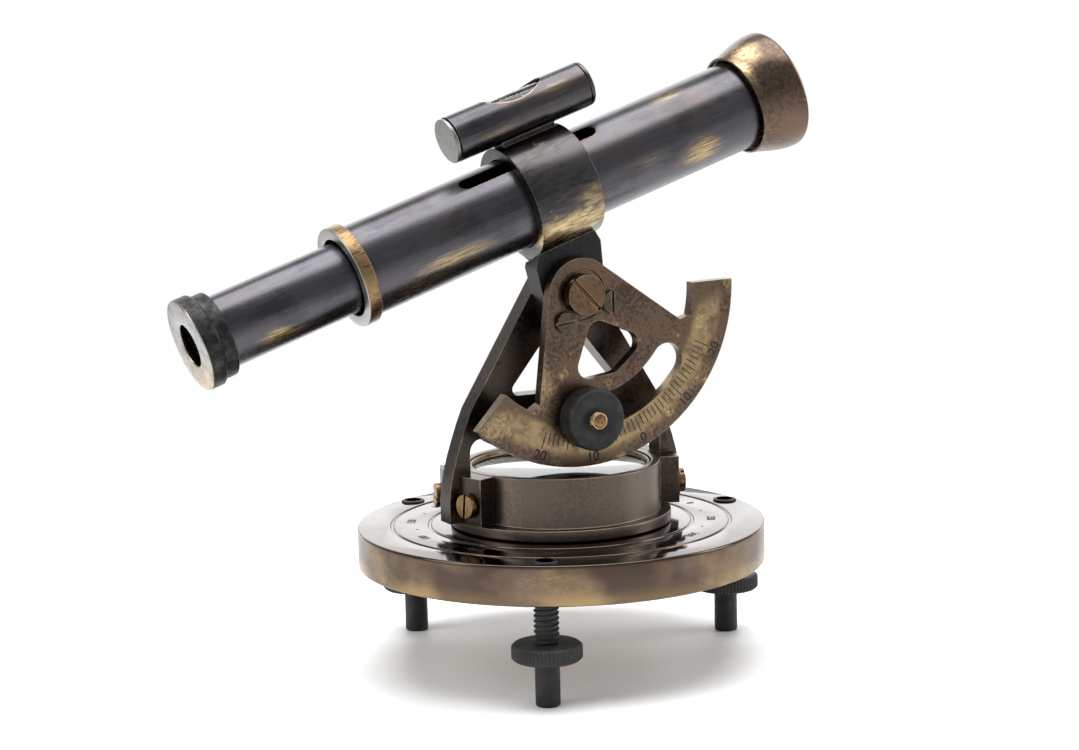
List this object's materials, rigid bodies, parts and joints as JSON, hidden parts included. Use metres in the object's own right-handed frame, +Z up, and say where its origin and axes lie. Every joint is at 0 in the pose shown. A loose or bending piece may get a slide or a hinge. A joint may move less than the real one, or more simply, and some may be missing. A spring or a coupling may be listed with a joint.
{
  "type": "theodolite",
  "caption": "Table-top sighting instrument: a sliding telescope with spirit level over a graduated quadrant on an A-frame, a compass box and a round base with levelling screws.",
  "frame": {"origin": "middle of the bounding box in plan, on the plane the three feet stand on", "axes": "+Z up; +X the way the telescope points at azimuth rest; the graduated quadrant faces -Y"},
  "size_m": [0.1662, 0.1016, 0.1534],
  "materials": {
    "dark_bronze": "antique bronze patina, polished with golden wear",
    "gunmetal": "dark lacquered gunmetal, worn to brass",
    "worn_brass": "brushed brass with brown mottling",
    "brown_brass": "aged brown brass, turned",
    "blackened_steel": "matte black",
    "steel": "turned",
    "dial_card": "printed white card",
    "blued_needle": "blued steel",
    "clear_glass": "clear polished"
  },
  "bodies": {
    "base": {"base_plate": "dark_bronze", "friction_washer": "worn_brass", "centre_bolt": "steel"},
    "levelling_screw_1": {"levelling_stud_1": "blackened_steel"},
    "levelling_wheel_1": {"levelling_knob_1": "blackened_steel"},
    "levelling_screw_2": {"levelling_stud_2": "blackened_steel"},
    "levelling_wheel_2": {"levelling_knob_2": "blackened_steel"},
    "levelling_screw_3": {"levelling_stud_3": "blackened_steel"},
    "levelling_wheel_3": {"levelling_knob_3": "blackened_steel"},
    "alidade": {"compass_box": "dark_bronze", "compass_card": "dial_card", "card_support": "worn_brass", "needle_pivot": "steel", "compass_glass": "clear_glass", "glass_ring": "worn_brass", "a_frame": "dark_bronze", "foot_screw_1": "brown_brass", "foot_screw_2": "brown_brass", "foot_screw_3": "brown_brass", "foot_screw_4": "brown_brass", "clamp_stud": "brown_brass"},
    "needle": {"compass_needle": "blued_needle", "needle_cap": "worn_brass"},
    "clamp": {"clamp_knob": "blackened_steel"},
    "tilting_head": {"stem": "gunmetal", "quadrant": "dark_bronze", "quadrant_screw_left": "brown_brass", "quadrant_screw_right": "brown_brass", "pivot_screw": "brown_brass", "pivot_nut": "brown_brass", "collar": "dark_bronze", "guide_key": "brown_brass", "vial_saddle": "gunmetal", "vial_tube": "gunmetal", "vial_glass": "clear_glass", "vial_plug_front": "gunmetal", "vial_plug_rear": "gunmetal"},
    "telescope": {"main_tube": "gunmetal", "end_ring": "worn_brass", "tube_bush": "worn_brass", "objective_hood": "dark_bronze", "lens_ring": "blackened_steel", "objective_lens": "clear_glass"},
    "draw": {"draw_tube": "gunmetal", "draw_sleeve": "worn_brass", "field_stop": "blackened_steel", "eyepiece_cap": "gunmetal", "eye_lens": "clear_glass"}
  },
  "joints": [
    {"name": "level_1_lift", "type": "slide", "parent": "base", "child": "levelling_screw_1", "axis": [0, 0, 1], "range_m": [-0.0015, 0.004]},
    {"name": "level_1_turn", "type": "hinge", "parent": "levelling_screw_1", "child": "levelling_wheel_1", "pos_m": [0.06326, -0.0018, 0.013], "axis": [0, 0, 1], "range_deg": [-432, 1152]},
    {"name": "level_2_lift", "type": "slide", "parent": "base", "child": "levelling_screw_2", "axis": [0, 0, 1], "range_m": [-0.0015, 0.004]},
    {"name": "level_2_turn", "type": "hinge", "parent": "levelling_screw_2", "child": "levelling_wheel_2", "pos_m": [-0.00533, 0.0414, 0.013], "axis": [0, 0, 1], "range_deg": [-432, 1152]},
    {"name": "level_3_lift", "type": "slide", "parent": "base", "child": "levelling_screw_3", "axis": [0, 0, 1], "range_m": [-0.0015, 0.004]},
    {"name": "level_3_turn", "type": "hinge", "parent": "levelling_screw_3", "child": "levelling_wheel_3", "pos_m": [-0.00844, -0.0396, 0.013], "axis": [0, 0, 1], "range_deg": [-432, 1152]},
    {"name": "azimuth", "type": "hinge", "parent": "base", "child": "alidade", "pos_m": [0.0165, 0, 0.0342], "axis": [0, 0, 1], "continuous": true},
    {"name": "needle_spin", "type": "hinge", "parent": "alidade", "child": "needle", "pos_m": [0.0165, 0, 0.0432], "axis": [0, 0, 1], "continuous": true},
    {"name": "elevation", "type": "hinge", "parent": "alidade", "child": "tilting_head", "pos_m": [0.0165, 0, 0.0924], "axis": [0, -1, 0], "range_deg": [-54, 6.8]},
    {"name": "clamp_turn", "type": "hinge", "parent": "alidade", "child": "clamp", "pos_m": [0.0165, -0.017, 0.0624], "axis": [0, -1, 0], "range_deg": [-180, 180]},
    {"name": "telescope_slide", "type": "slide", "parent": "tilting_head", "child": "telescope", "axis": [0.9489, 0, 0.3156], "range_m": [-0.0135, 0.0195]},
    {"name": "focus_draw", "type": "slide", "parent": "telescope", "child": "draw", "axis": [0.9489, 0, 0.3156], "range_m": [-0.0155, 0.031]}
  ],
  "couplings": [
    {"joint": "level_1_turn", "follows": "level_1_lift", "rad_per_m": 5026.5},
    {"joint": "level_2_turn", "follows": "level_2_lift", "rad_per_m": 5026.5},
    {"joint": "level_3_turn", "follows": "level_3_lift", "rad_per_m": 5026.5}
  ]
}
